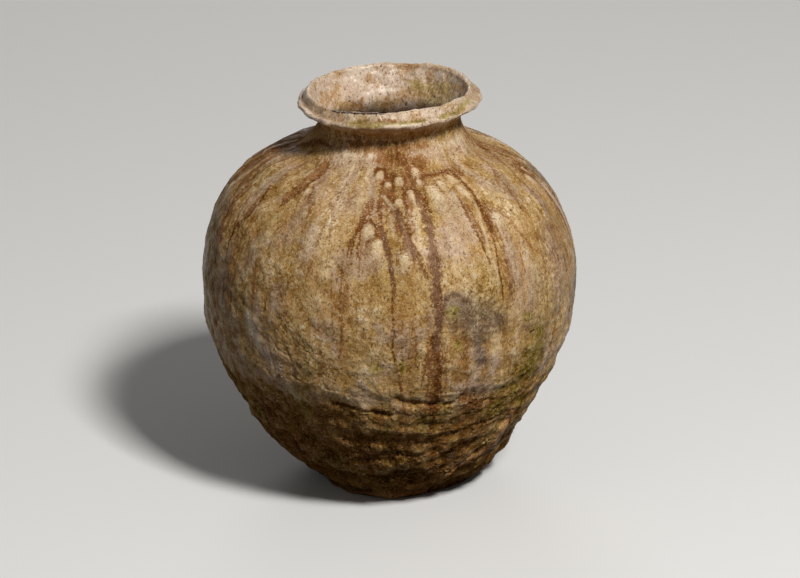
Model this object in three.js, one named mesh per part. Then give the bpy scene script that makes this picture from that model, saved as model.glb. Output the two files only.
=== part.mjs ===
// Storage jar, built up by hand in stoneware: a clay disc, two stages of lapped coils, a collar for the neck
// and a grooved lip. Millimetres and degrees, +Z up, the front of the jar towards -Y.
import * as THREE from "three";

// Outline of the outer wall from the floor up. Each rise is counted from the line above it, and each inset is how
// much narrower the wall is there than at the belly.
const footRadius = 77.5;
const heelRadius = 102;
const heelRise = 23;
const flankRadius = 134.5;
const flankRise = 42;
const waistInset = 10.7;
const waistRise = 80;
const bellyRadius = 187.2;
const bellyRise = 62;
const highBellyInset = 6.2;
const highBellyRise = 52;
const shoulderInset = 27.2;
const shoulderRise = 44;
const collarbaseRadius = 123;
const collarbaseRise = 31;
const neckRootRadius = 88;
const neckRootRise = 15;
const neckRadius = 71;
const neckRise = 23;
const neckTopRadius = 76;
const neckTopRise = 14;

// Clay thicknesses
const discThickness = 14;
const wallThickness = 10;
const neckThickness = 7;
const innerCornerWidth = 24;

// The lip: a rolled outer edge, a groove, and a rolled crest that stands above it
const lipEdgeRadius = 91.5;
const lipEdgeRise = 10;
const lipEdgeRoll = 3.5;
const lipEdgeTurn = [-70, 75];
const crestRadius = 79;
const crestRise = 7.5;
const crestRoll = 4.5;
const crestTurn = [5, 190];
const grooveDepth = 1.6;

// Coils and the lapped seams between them. Each seam slopes down to the inside of the jar.
const lowerCoils = 4;
const upperCoils = 7;
const seamLap = 9;
const seamGap = 0.3;

// Marks of the hand on the lower stage, and the crease where the two stages meet. They wander round the jar in
// waves: the sizes are in turns of a ridge, in shares of the crease, and in millimetres on the lip.
const ridgesPerCoil = 2;
const ridgeDepth = 1.1;
const ridgeWaves = [
  { size: 0.24, count: 1, start: 57 },
  { size: 0.14, count: 3, start: 0 },
];
const creaseDepth = 1.8;
const creaseWidth = 7;
const creaseBulge = 1.2;
const creaseWaves = [
  { size: 0.2, count: 1, start: 30 },
  { size: 0.2, count: 3, start: 126 },
];
const lipWaves = [
  { size: 0.6, count: 3, start: 34 },
  { size: 0.36, count: 5, start: 115 },
];

// How the jar leaned and warped before it was hard. An azimuth is counted from the front, towards the right. A dent
// near the foot rises from the floor, and the others rise from the crease or lie below it.
const footDrift = 10;
const footDriftHeight = 70;
const bellySway = 1.2;
const bellySwaySpread = 45;
const neckDrift = 3;
const mouthTilt = 2;
const ovalness = 1.2;
const ovalAzimuth = 40;
const footDents = [
  { azimuth: 32, rise: 0, depth: 7, spread: 36 },
  { azimuth: 84, rise: 34, depth: -4, spread: 20 },
];
const creaseDents = [
  { azimuth: 78, rise: -14, depth: 2.5, spread: 15 },
  { azimuth: 24, rise: -17, depth: 2.4, spread: 30 },
  { azimuth: -38, rise: -25, depth: 2, spread: 34 },
  { azimuth: -96, rise: -55, depth: -2, spread: 50 },
  { azimuth: 150, rise: -27, depth: 3.6, spread: 38 },
  { azimuth: -130, rise: 45, depth: 3, spread: 40 },
];

// Fineness of the facets
const segments = 56;
const outerRows = 5;
const innerRows = 2;
const rollSteps = 5;
const outlineSamples = 600;
const lengthTolerance = 1e-4;

const radians = THREE.MathUtils.degToRad;
const smooth = THREE.MathUtils.smoothstep;
const lerp = THREE.MathUtils.lerp;
const gauss = (distance, spread) => Math.exp(-((distance / spread) ** 2));
const wander = (waves, azimuth) =>
  waves.reduce((sum, { size, count, start }) => sum + size * Math.sin(count * azimuth + radians(start)), 0);

// Evenly spaced values from one end to the other
function steps(from, to, count) {
  return Array.from({ length: count + 1 }, (_, i) => lerp(from, to, i / count));
}

// The outer wall as one smooth curve of radius and height, from the standing edge to the top of the neck
const waistHeight = heelRise + flankRise + waistRise;
const bellyHeight = waistHeight + bellyRise;
const shoulderHeight = bellyHeight + highBellyRise + shoulderRise;
const neckRootHeight = shoulderHeight + collarbaseRise + neckRootRise;
const neckTopHeight = neckRootHeight + neckRise + neckTopRise;
const lipEdgeHeight = neckTopHeight + lipEdgeRise;
const crestHeight = lipEdgeHeight + crestRise;

const outline = new THREE.SplineCurve([
  new THREE.Vector2(footRadius, 0),
  new THREE.Vector2(heelRadius, heelRise),
  new THREE.Vector2(flankRadius, heelRise + flankRise),
  new THREE.Vector2(bellyRadius - waistInset, waistHeight),
  new THREE.Vector2(bellyRadius, bellyHeight),
  new THREE.Vector2(bellyRadius - highBellyInset, bellyHeight + highBellyRise),
  new THREE.Vector2(bellyRadius - shoulderInset, shoulderHeight),
  new THREE.Vector2(collarbaseRadius, shoulderHeight + collarbaseRise),
  new THREE.Vector2(neckRootRadius, neckRootHeight),
  new THREE.Vector2(neckRadius, neckRootHeight + neckRise),
  new THREE.Vector2(neckTopRadius, neckTopHeight),
]);
outline.arcLengthDivisions = outlineSamples;
const wallLength = outline.getLength();

// How far along the outline, in millimetres, it reaches a height
function lengthAtHeight(height) {
  let low = 0;
  let high = wallLength;
  while (high - low > lengthTolerance) {
    const middle = (low + high) / 2;
    if (outline.getPointAt(middle / wallLength).y < height) low = middle;
    else high = middle;
  }
  return low;
}

const discTop = lengthAtHeight(discThickness);
const crease = lengthAtHeight(waistHeight);
const collarbase = lengthAtHeight(shoulderHeight + collarbaseRise);
const neckRoot = lengthAtHeight(neckRootHeight);

// A point of the wall, so far along the outline: on the outer skin, or on the inner face behind it
function wallPoint(length, inside = false) {
  const within = THREE.MathUtils.clamp(length, 0, wallLength);
  const along = outline.getTangentAt(within / wallLength);
  const skin = outline.getPointAt(within / wallLength).addScaledVector(along, length - within);
  if (!inside) return { radius: skin.x, height: skin.y, skinLength: length };
  const thickness = lerp(wallThickness, neckThickness, smooth(length, collarbase, neckRoot));
  return { radius: skin.x - thickness * along.y, height: skin.y + thickness * along.x };
}

// What hands left on the outer skin, measured outwards
function skinRelief(length, azimuth) {
  const coil = (crease - discTop) / lowerCoils;
  const fade = smooth(length, discTop, discTop + coil) * (1 - smooth(length, crease - coil / 2, crease));
  const turns = (ridgesPerCoil * (length - discTop)) / coil + wander(ridgeWaves, azimuth);
  const ridges = ridgeDepth * Math.cos(2 * Math.PI * turns) * fade;
  const above = length - crease;
  const groove = creaseDepth * gauss(above, creaseWidth);
  const bulge = creaseBulge * gauss(above - 2 * creaseWidth, 1.5 * creaseWidth);
  return ridges + (bulge - groove) * (1 + wander(creaseWaves, azimuth));
}

// Every dent with the height that it lies at
const dents = [
  ...footDents.map((dent) => ({ ...dent, height: dent.rise })),
  ...creaseDents.map((dent) => ({ ...dent, height: waistHeight + dent.rise })),
];

// How far the whole wall moved outwards round a point at an azimuth
function wallWarp({ radius, height }, azimuth) {
  const body = smooth(height, 0, waistHeight) * (1 - smooth(height, shoulderHeight, neckRootHeight));
  let move = ovalness * Math.cos(2 * (azimuth - radians(ovalAzimuth))) * body;
  for (const dent of dents) {
    const turn = azimuth - radians(dent.azimuth);
    const around = Math.atan2(Math.sin(turn), Math.cos(turn)) * radius;
    move -= dent.depth * gauss(Math.hypot(around, height - dent.height), dent.spread);
  }
  return move;
}

// Puts a point of a section in place at an azimuth, with every irregularity of the finished jar
function place(point, azimuth) {
  const relief = point.skinLength === undefined ? 0 : skinRelief(point.skinLength, azimuth);
  const warp = wallWarp(point, azimuth) * smooth(point.radius, 0, footRadius);
  const radius = point.radius + relief + warp;
  const neck = smooth(point.height, neckRootHeight, neckTopHeight);
  const lip = smooth(point.height, neckTopHeight, crestHeight);
  const tilt = radians(mouthTilt) * neck;
  const foot = 1 - smooth(point.height, 0, footDriftHeight);
  const belly = gauss(point.height - bellyHeight, bellySwaySpread);
  const drift = footDrift * foot + bellySway * belly + neckDrift * neck;
  const lean = tilt * Math.max(point.height - neckRootHeight, 0);
  const across = radius * Math.sin(azimuth);
  return new THREE.Vector3(
    across + drift - lean,
    -radius * Math.cos(azimuth),
    point.height + tilt * across + wander(lipWaves, azimuth) * lip,
  );
}

// A closed ring, or a disc where the section runs from the axis to the axis, turned and then warped
function turned(name, section, material) {
  const profile = section.map((point) => new THREE.Vector2(point.radius, point.height));
  const geometry = new THREE.LatheGeometry(profile, segments);
  const position = geometry.getAttribute("position");
  for (let i = 0; i < position.count; i++) {
    const column = Math.floor(i / section.length) % segments;
    const placed = place(section[i % section.length], (2 * Math.PI * column) / segments);
    position.setXYZ(i, placed.x, placed.y, placed.z);
  }
  geometry.computeVertexNormals();
  const mesh = new THREE.Mesh(geometry, material);
  mesh.name = name;
  return mesh;
}

const closed = (section) => [...section, section[0]];

// The disc that the jar stands on, its edge continuing the line of the wall
function discSection() {
  const edge = steps(0, discTop, 2).map((length) => wallPoint(length));
  return [{ radius: 0, height: 0 }, ...edge, { radius: 0, height: discThickness }];
}

// The first coil stands flat on the disc and fills the inner corner
function firstCoilSection(top) {
  const bottom = lengthAtHeight(discThickness + seamGap);
  const outside = steps(bottom, top, outerRows).map((length) => wallPoint(length));
  const insideBottom = bottom + innerCornerWidth - wallThickness;
  const inside = steps(top - seamLap, insideBottom, innerRows).map((length) => wallPoint(length, true));
  const corner = { radius: outside[0].radius - innerCornerWidth, height: discThickness + seamGap };
  return closed([...outside, ...inside, corner]);
}

// One coil of the wall between two seams: up the outside and down the inside
function coilSection(seam, top) {
  const bottom = seam + seamGap;
  const outside = steps(bottom, top, outerRows).map((length) => wallPoint(length));
  const inside = steps(top - seamLap, bottom - seamLap, innerRows).map((length) => wallPoint(length, true));
  return closed([...outside, ...inside]);
}

// Points round a roll of clay, from one angle to another, counted upwards from straight out
function roll(radius, height, size, from, to) {
  return steps(from, to, rollSteps).map((angle) => ({
    radius: radius + size * Math.cos(radians(angle)),
    height: height + size * Math.sin(radians(angle)),
  }));
}

// The lip sits on the neck: out along its underside, round the edge, across the groove and over the crest
function lipSection() {
  const edge = roll(lipEdgeRadius - lipEdgeRoll, lipEdgeHeight, lipEdgeRoll, ...lipEdgeTurn);
  const crest = roll(crestRadius, crestHeight, crestRoll, ...crestTurn);
  const edgeTop = edge[rollSteps];
  const groove = {
    radius: (edgeTop.radius + crest[0].radius) / 2,
    height: (edgeTop.height + crest[0].height) / 2 - grooveDepth,
  };
  const seat = wallLength + seamGap;
  return closed([wallPoint(seat), ...edge, groove, ...crest, wallPoint(seat - seamLap, true)]);
}

const bareClay = { color: 0x7a5430, roughness: 0.85, metalness: 0 };
const ashGlaze = { color: 0xa98f63, roughness: 0.5, metalness: 0 };
const clay = (finish) => new THREE.MeshStandardMaterial(finish);

const jar = new THREE.Group();
jar.name = "storage_jar";
jar.add(turned("base_disc", discSection(), clay(bareClay)));

const lowerSeams = steps(discTop, crease, lowerCoils);
for (let i = 0; i < lowerCoils; i++) {
  const section = i === 0 ? firstCoilSection(lowerSeams[1]) : coilSection(lowerSeams[i], lowerSeams[i + 1]);
  jar.add(turned("lower_coil_" + (i + 1), section, clay(i === 0 ? bareClay : ashGlaze)));
}

const upperSeams = steps(crease, neckRoot, upperCoils);
for (let i = 0; i < upperCoils; i++) {
  const section = coilSection(upperSeams[i], upperSeams[i + 1]);
  jar.add(turned("upper_coil_" + (i + 1), section, clay(ashGlaze)));
}

jar.add(turned("neck_collar", coilSection(neckRoot, wallLength), clay(ashGlaze)));
jar.add(turned("rim_lip", lipSection(), clay(ashGlaze)));

// The origin lies on the floor, under the middle of the jar
const middle = new THREE.Box3().setFromObject(jar).getCenter(new THREE.Vector3());
jar.position.set(-middle.x, -middle.y, 0);

export default jar;
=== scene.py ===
"""Storage jar: the finish of a stoneware jar built from coils, with a runny ash glaze.

Lengths are millimetres until a mesh is made, heights are counted from the floor, and an azimuth is counted
from the front of the jar (-Y) towards the right (+X). One grid covers the whole skin of the jar: its rows
follow the section from under the foot, up the outside, over the lip, down the inside and across the floor,
and its columns go round.
"""

import itertools
import math

import bpy
import numpy as np
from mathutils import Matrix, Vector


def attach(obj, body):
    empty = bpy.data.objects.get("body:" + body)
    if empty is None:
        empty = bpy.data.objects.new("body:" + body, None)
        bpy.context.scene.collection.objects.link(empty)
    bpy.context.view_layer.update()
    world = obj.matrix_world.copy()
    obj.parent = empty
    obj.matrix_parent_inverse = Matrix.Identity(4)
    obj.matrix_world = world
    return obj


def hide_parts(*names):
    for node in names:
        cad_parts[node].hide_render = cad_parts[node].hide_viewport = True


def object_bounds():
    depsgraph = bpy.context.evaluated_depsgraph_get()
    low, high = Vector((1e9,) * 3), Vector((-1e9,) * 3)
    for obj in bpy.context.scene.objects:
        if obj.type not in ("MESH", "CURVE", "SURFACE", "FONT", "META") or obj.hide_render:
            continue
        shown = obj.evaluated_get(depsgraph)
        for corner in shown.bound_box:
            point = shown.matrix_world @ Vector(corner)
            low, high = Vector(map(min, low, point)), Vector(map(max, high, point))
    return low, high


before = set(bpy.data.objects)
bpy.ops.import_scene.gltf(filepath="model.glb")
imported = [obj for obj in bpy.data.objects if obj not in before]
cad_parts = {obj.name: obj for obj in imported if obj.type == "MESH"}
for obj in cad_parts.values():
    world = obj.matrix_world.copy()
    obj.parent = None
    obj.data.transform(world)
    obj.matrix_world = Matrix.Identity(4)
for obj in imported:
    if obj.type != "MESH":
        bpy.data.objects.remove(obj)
cad_low, cad_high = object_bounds()

MILLIMETRE = 0.001
BODY = "root"

# Outline of the outer wall from the floor up: radius and height of each line, as the part has them
BELLY_RADIUS = 187.2
WAIST_HEIGHT = 145.0
BELLY_HEIGHT = 207.0
SHOULDER_HEIGHT = 303.0
COLLARBASE_HEIGHT = 334.0
NECK_ROOT_HEIGHT = 349.0
NECK_TOP_HEIGHT = 386.0
FOOT_RADIUS = 77.5
WALL_STATIONS = [
    (FOOT_RADIUS, 0.0),
    (102.0, 23.0),
    (134.5, 65.0),
    (176.5, WAIST_HEIGHT),
    (BELLY_RADIUS, BELLY_HEIGHT),
    (181.0, 259.0),
    (160.0, SHOULDER_HEIGHT),
    (123.0, COLLARBASE_HEIGHT),
    (88.0, NECK_ROOT_HEIGHT),
    (71.0, 372.0),
    (76.0, NECK_TOP_HEIGHT),
]

# Clay thicknesses
DISC_THICKNESS = 14.0
WALL_THICKNESS = 10.0
NECK_THICKNESS = 7.0
INNER_CORNER_WIDTH = 24.0

# The lip: a rolled outer edge, a groove, and a rolled crest above it
LIP_EDGE_RADIUS = 91.5
LIP_EDGE_HEIGHT = 396.0
LIP_EDGE_ROLL = 3.5
LIP_EDGE_TURN = (-70.0, 75.0)
CREST_RADIUS = 79.0
CREST_HEIGHT = 403.5
CREST_ROLL = 4.5
CREST_TURN = (5.0, 190.0)
GROOVE_DEPTH = 1.6

# Coils and their lapped seams
LOWER_COILS = 4
UPPER_COILS = 7
SEAM_LAP = 9.0

# Ridges of the lower stage, and the crease where the stages meet: waves are (size, count, start in degrees)
RIDGES_PER_COIL = 2
RIDGE_DEPTH = 1.1
RIDGE_WAVES = [(0.24, 1, 57.0), (0.14, 3, 0.0)]
CREASE_DEPTH = 1.8
CREASE_WIDTH = 7.0
CREASE_BULGE = 1.2
BULGE_RISE = 2.0 * CREASE_WIDTH
BULGE_WIDTH = 1.5 * CREASE_WIDTH
CREASE_WAVES = [(0.2, 1, 30.0), (0.2, 3, 126.0)]
LIP_WAVES = [(0.6, 3, 34.0), (0.36, 5, 115.0)]

# How the jar leaned and warped: dents are (azimuth in degrees, height, depth, spread)
FOOT_DRIFT = 10.0
FOOT_DRIFT_HEIGHT = 70.0
BELLY_SWAY = 1.2
BELLY_SWAY_SPREAD = 45.0
NECK_DRIFT = 3.0
MOUTH_TILT = math.radians(2.0)
OVALNESS = 1.2
OVAL_AZIMUTH = math.radians(40.0)
DENTS = [
    (32.0, 0.0, 7.0, 36.0),
    (84.0, 34.0, -4.0, 20.0),
    (78.0, 131.0, 2.5, 15.0),
    (24.0, 128.0, 2.4, 30.0),
    (-38.0, 120.0, 2.0, 34.0),
    (-96.0, 90.0, -2.0, 50.0),
    (150.0, 118.0, 3.6, 38.0),
    (-130.0, 190.0, 3.0, 40.0),
]

# The grid: columns round the jar, and the spacing of its rows along the section
COLUMNS = 1152
COLUMN_STEP = 2.0 * math.pi / COLUMNS
SKIN_ROW_STEP = 0.95
LIP_ROW_STEP = 0.85
MOUTH_ROW_STEP = 1.5
DEEP_ROW_STEP = 4.0
UNDER_ROW_STEP = 3.0
CENTRE_GAP = 2.0
SECTION_STEP = 0.25
SECTION_SOFTENING = 1.1
STATION_SAMPLES = 400
ROLL_POINTS = 40

# How the skin lies in the clay: its inset, how much of the part's ridges and crease the glaze evens out, how
# much of the relief the inside has, and the space left to the part's box
SKIN_INSET = 1.1
RIDGES_SMOOTHED = 0.7
CREASE_SMOOTHED = 0.45
INSIDE_RELIEF = 0.35
BOX_MARGIN = 0.02

# The photograph's camera, fitted to the outline of the jar: pixels in a picture of 800 by 578
PICTURE_WIDTH = 800
PICTURE_HEIGHT = 578
CAMERA_DISTANCE = 3600.0
CAMERA_ELEVATION = math.radians(21.6)
CAMERA_SIDE = 10.5
CAMERA_TARGET_HEIGHT = 194.7
FOCAL_PIXELS = 3600.0
SENSOR_WIDTH = 36.0


def smooth(value, low, high):
    """0 below low, 1 above high, and an even S between them."""
    share = np.clip((value - low) / (high - low), 0.0, 1.0)
    return share * share * (3.0 - 2.0 * share)


def gauss(distance, spread):
    return np.exp(-((distance / spread) ** 2))


def wander(waves, azimuth):
    return sum(size * np.sin(count * azimuth + math.radians(start)) for size, count, start in waves)


def blend(low, high, share):
    return low + (high - low) * share


# Noise

NOISE_TABLE = 256
NOISE_GAIN = 1.6
LATTICE_SHIFT = np.array([31.7, 11.3, 57.1], np.float32)


def gradient_noise(points, size, seed):
    """Smooth noise of about -1 to 1 at points in space, with bumps about so many millimetres across."""
    random = np.random.default_rng(seed)
    order = random.permutation(NOISE_TABLE)
    slopes = random.normal(size=(NOISE_TABLE, 3)).astype(np.float32)
    slopes /= np.linalg.norm(slopes, axis=1, keepdims=True)
    scaled = points.astype(np.float32) / np.float32(size) + LATTICE_SHIFT
    cell = np.floor(scaled).astype(np.int32)
    inside = scaled - cell
    ease = inside * inside * inside * (inside * (inside * 6.0 - 15.0) + 10.0)
    total = np.zeros(points.shape[:-1], np.float32)
    for corner in itertools.product((0, 1), repeat=3):
        index = np.zeros(points.shape[:-1], np.int32)
        weight = np.ones(points.shape[:-1], np.float32)
        for axis, step in enumerate(corner):
            index = order[(index + cell[..., axis] + step) % NOISE_TABLE]
            weight *= ease[..., axis] if step else 1.0 - ease[..., axis]
        slope = slopes[index]
        rise = sum(slope[..., axis] * (inside[..., axis] - step) for axis, step in enumerate(corner))
        total += weight * rise
    return total * NOISE_GAIN


# The section of the jar


def wall_outline():
    """The outer wall as a smooth curve through its stations: lengths along it, points and directions."""
    stations = np.array(WALL_STATIONS)
    start = stations[:-1, None]
    end = stations[1:, None]
    before = np.vstack([stations[:1], stations[:-2]])[:, None]
    after = np.vstack([stations[2:], stations[-1:]])[:, None]
    t = np.linspace(0.0, 1.0, STATION_SAMPLES, endpoint=False)[None, :, None]
    curve = (
        (2 * t**3 - 3 * t**2 + 1) * start
        + (t**3 - 2 * t**2 + t) * (end - before) / 2
        + (3 * t**2 - 2 * t**3) * end
        + (t**3 - t**2) * (after - start) / 2
    )
    points = np.vstack([curve.reshape(-1, 2), stations[-1:]])
    lengths = np.concatenate([[0.0], np.cumsum(np.hypot(*np.diff(points, axis=0).T))])
    along = np.gradient(points, lengths, axis=0)
    along /= np.linalg.norm(along, axis=1, keepdims=True)
    return lengths, points, along


OUTLINE_LENGTHS, OUTLINE_POINTS, OUTLINE_ALONG = wall_outline()
WALL_LENGTH = OUTLINE_LENGTHS[-1]


def length_at_height(height):
    return float(np.interp(height, OUTLINE_POINTS[:, 1], OUTLINE_LENGTHS))


DISC_TOP = length_at_height(DISC_THICKNESS)
CREASE = length_at_height(WAIST_HEIGHT)
COLLARBASE = length_at_height(COLLARBASE_HEIGHT)
NECK_ROOT = length_at_height(NECK_ROOT_HEIGHT)
LOWER_SEAMS = np.linspace(DISC_TOP, CREASE, LOWER_COILS + 1)
UPPER_SEAMS = np.linspace(CREASE, NECK_ROOT, UPPER_COILS + 1)
COIL_HEIGHT = LOWER_SEAMS[1] - LOWER_SEAMS[0]
MOUTH_ROWS_START = UPPER_SEAMS[-3]
INSIDE_BOTTOM = DISC_TOP + INNER_CORNER_WIDTH - WALL_THICKNESS
INSIDE_LENGTHS = np.arange(WALL_LENGTH - SEAM_LAP, INSIDE_BOTTOM, -1.0)


def along_outline(lengths, pairs):
    """Pairs that go with the outline, read at lengths along it."""
    return np.stack([np.interp(lengths, OUTLINE_LENGTHS, pairs[:, axis]) for axis in (0, 1)], axis=-1)


def wall_points(lengths, inside=False):
    """Radius and height at lengths along the wall, on its skin or on the inner face behind it."""
    skin = along_outline(lengths, OUTLINE_POINTS)
    if not inside:
        return skin
    along = along_outline(lengths, OUTLINE_ALONG)
    thickness = blend(WALL_THICKNESS, NECK_THICKNESS, smooth(lengths, COLLARBASE, NECK_ROOT))
    return skin + thickness[:, None] * np.stack([-along[:, 1], along[:, 0]], axis=-1)


def roll(radius, height, size, turn):
    """Points round a roll of clay, from one angle to another."""
    angles = np.radians(np.linspace(*turn, ROLL_POINTS))
    return np.stack([radius + size * np.cos(angles), height + size * np.sin(angles)], axis=-1)


class Section:
    """The whole section as one line, whose places are millimetres from the axis under the foot."""

    def __init__(self):
        edge = roll(LIP_EDGE_RADIUS - LIP_EDGE_ROLL, LIP_EDGE_HEIGHT, LIP_EDGE_ROLL, LIP_EDGE_TURN)
        crest = roll(CREST_RADIUS, CREST_HEIGHT, CREST_ROLL, CREST_TURN)
        groove = (edge[-1] + crest[0]) / 2 - (0.0, GROOVE_DEPTH)
        inside = wall_points(INSIDE_LENGTHS, inside=True)
        corner = (wall_points(np.array([DISC_TOP]))[0, 0] - INNER_CORNER_WIDTH, DISC_THICKNESS)
        parts = [
            np.array([(0.0, 0.0)]),
            wall_points(np.arange(0.0, WALL_LENGTH, 1.0)),
            np.vstack([edge, groove, crest]),
            inside,
            np.array([corner, (0.0, DISC_THICKNESS)]),
        ]
        line = np.vstack(parts)
        places = np.concatenate([[0.0], np.cumsum(np.hypot(*np.diff(line, axis=0).T))])
        ends = np.cumsum([len(part) for part in parts])
        self.foot = places[ends[0]]
        self.wall_top = self.foot + WALL_LENGTH
        self.groove = places[ends[1] + len(edge)]
        self.lip_middle = places[ends[2] - len(crest) // 2]
        self.inside_top = places[ends[2]]
        self.corner = places[ends[3]]
        self.end = places[-1]
        self.places = np.arange(0.0, self.end, SECTION_STEP)
        sampled = [np.interp(self.places, places, line[:, axis]) for axis in (0, 1)]
        self.radii, self.heights = (self.soften(values) for values in sampled)

    @staticmethod
    def soften(values):
        """Rounds the corners of the section, as fired clay and glaze do."""
        reach = int(4 * SECTION_SOFTENING / SECTION_STEP)
        weights = gauss(np.arange(-reach, reach + 1) * SECTION_STEP, SECTION_SOFTENING)
        padded = np.pad(values, reach, mode="reflect", reflect_type="odd")
        return np.convolve(padded, weights / weights.sum(), mode="valid")

    def inside_place(self, length):
        """Where on the inner face the wall's so-many-th millimetre lies."""
        points = wall_points(INSIDE_LENGTHS, inside=True)
        travelled = np.concatenate([[0.0], np.cumsum(np.hypot(*np.diff(points, axis=0).T))])
        return self.inside_top + float(np.interp(-length, -INSIDE_LENGTHS, travelled))


section = Section()


# Rows of the grid, and which of them each piece has


def lay_out_rows():
    """The places of all rows, and for each piece the rows of its closed section."""
    places = [CENTRE_GAP]
    outside = {}
    pieces = {}

    def rows_to(end, step):
        """Adds rows up to a place, and returns the numbers of these rows and of the one before them."""
        first = len(places) - 1
        count = max(2, round((end - places[-1]) / step) + 1)
        places.extend(np.linspace(places[-1], end, count)[1:])
        return np.arange(first, len(places))

    under = rows_to(section.foot, UNDER_ROW_STEP)
    edge = rows_to(section.foot + DISC_TOP, SKIN_ROW_STEP)
    coils = [("lower_coil_%d" % (i + 1), LOWER_SEAMS[i], LOWER_SEAMS[i + 1]) for i in range(LOWER_COILS)]
    coils += [("upper_coil_%d" % (i + 1), UPPER_SEAMS[i], UPPER_SEAMS[i + 1]) for i in range(UPPER_COILS)]
    coils += [("neck_collar", NECK_ROOT, WALL_LENGTH)]
    for name, _, top in coils:
        outside[name] = rows_to(section.foot + top, SKIN_ROW_STEP)
    pieces["rim_lip"] = rows_to(section.inside_top, LIP_ROW_STEP)
    for name, bottom, top in reversed(coils):
        end = section.corner if name == "lower_coil_1" else section.inside_place(bottom - SEAM_LAP)
        inside = rows_to(end, MOUTH_ROW_STEP if top > MOUTH_ROWS_START else DEEP_ROW_STEP)
        pieces[name] = np.concatenate([outside[name], inside])
    floor = rows_to(section.end - CENTRE_GAP, DEEP_ROW_STEP)
    pieces["base_disc"] = np.concatenate([under, edge[1:], floor])
    return np.array(places), pieces


ROW_PLACES, PIECE_ROWS = lay_out_rows()
ROW_RADII = np.interp(ROW_PLACES, section.places, section.radii)
ROW_HEIGHTS = np.interp(ROW_PLACES, section.places, section.heights)
ROW_LENGTHS = ROW_PLACES - section.foot
AZIMUTHS = np.arange(COLUMNS) * COLUMN_STEP
OUTSIDE = (ROW_PLACES >= section.foot) & (ROW_PLACES <= section.wall_top)


# The shape of the wall, as the part has it


def ridge_waves(length, azimuth):
    """Ridges that fingers left on the lower stage, measured outwards."""
    fade = smooth(length, DISC_TOP, DISC_TOP + COIL_HEIGHT)
    fade = fade * (1.0 - smooth(length, CREASE - COIL_HEIGHT / 2, CREASE))
    turns = RIDGES_PER_COIL * (length - DISC_TOP) / COIL_HEIGHT + wander(RIDGE_WAVES, azimuth)
    return RIDGE_DEPTH * np.cos(2.0 * math.pi * turns) * fade


def crease_waves(length, azimuth):
    """The crease where the two stages meet, with the swelling above it, measured outwards."""
    past = length - CREASE
    groove = CREASE_DEPTH * gauss(past, CREASE_WIDTH)
    bulge = CREASE_BULGE * gauss(past - BULGE_RISE, BULGE_WIDTH)
    return (bulge - groove) * (1.0 + wander(CREASE_WAVES, azimuth))


def wall_warp(radius, height, azimuth):
    """How far the whole wall moved outwards."""
    body = smooth(height, 0.0, WAIST_HEIGHT) * (1.0 - smooth(height, SHOULDER_HEIGHT, NECK_ROOT_HEIGHT))
    move = OVALNESS * np.cos(2.0 * (azimuth - OVAL_AZIMUTH)) * body
    for dent_azimuth, dent_height, depth, spread in DENTS:
        turn = azimuth - math.radians(dent_azimuth)
        around = np.arctan2(np.sin(turn), np.cos(turn)) * radius
        move = move - depth * gauss(np.hypot(around, height - dent_height), spread)
    return move


def place_grid(relief):
    """The grid in space, with its relief measured outwards along the radius."""
    azimuth = AZIMUTHS[None, :]
    height = ROW_HEIGHTS[:, None]
    radius = ROW_RADII[:, None]
    radius = radius + relief + wall_warp(radius, height, azimuth) * smooth(radius, 0.0, FOOT_RADIUS)
    neck = smooth(height, NECK_ROOT_HEIGHT, NECK_TOP_HEIGHT)
    lip = smooth(height, NECK_TOP_HEIGHT, CREST_HEIGHT)
    tilt = MOUTH_TILT * neck
    foot = 1.0 - smooth(height, 0.0, FOOT_DRIFT_HEIGHT)
    belly = gauss(height - BELLY_HEIGHT, BELLY_SWAY_SPREAD)
    drift = FOOT_DRIFT * foot + BELLY_SWAY * belly + NECK_DRIFT * neck
    lean = tilt * np.maximum(height - NECK_ROOT_HEIGHT, 0.0)
    across = radius * np.sin(azimuth)
    up = height + tilt * across + wander(LIP_WAVES, azimuth) * lip
    return np.stack([across + drift - lean, -radius * np.cos(azimuth), up], axis=-1)


def grid_normals(points):
    """Outward directions of the grid, from its neighbours on every side."""
    along = np.gradient(points, axis=0)
    around = np.roll(points, -1, axis=1) - np.roll(points, 1, axis=1)
    normals = np.cross(around, along)
    return normals / np.linalg.norm(normals, axis=-1, keepdims=True)


hand_ridges = ridge_waves(ROW_LENGTHS[:, None], AZIMUTHS[None, :]) * OUTSIDE[:, None]
hand_crease = crease_waves(ROW_LENGTHS[:, None], AZIMUTHS[None, :]) * OUTSIDE[:, None]
GRID = place_grid(hand_ridges + hand_crease)
box_middle = (GRID.reshape(-1, 3).min(0) + GRID.reshape(-1, 3).max(0)) / 2
GRID[..., :2] -= box_middle[:2]
GRID_NORMALS = grid_normals(GRID)


# From pixels of the photograph to places on the jar

CAMERA_PLACE = np.array(
    [
        CAMERA_SIDE,
        -CAMERA_DISTANCE * math.cos(CAMERA_ELEVATION),
        CAMERA_TARGET_HEIGHT + CAMERA_DISTANCE * math.sin(CAMERA_ELEVATION),
    ]
)


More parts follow.
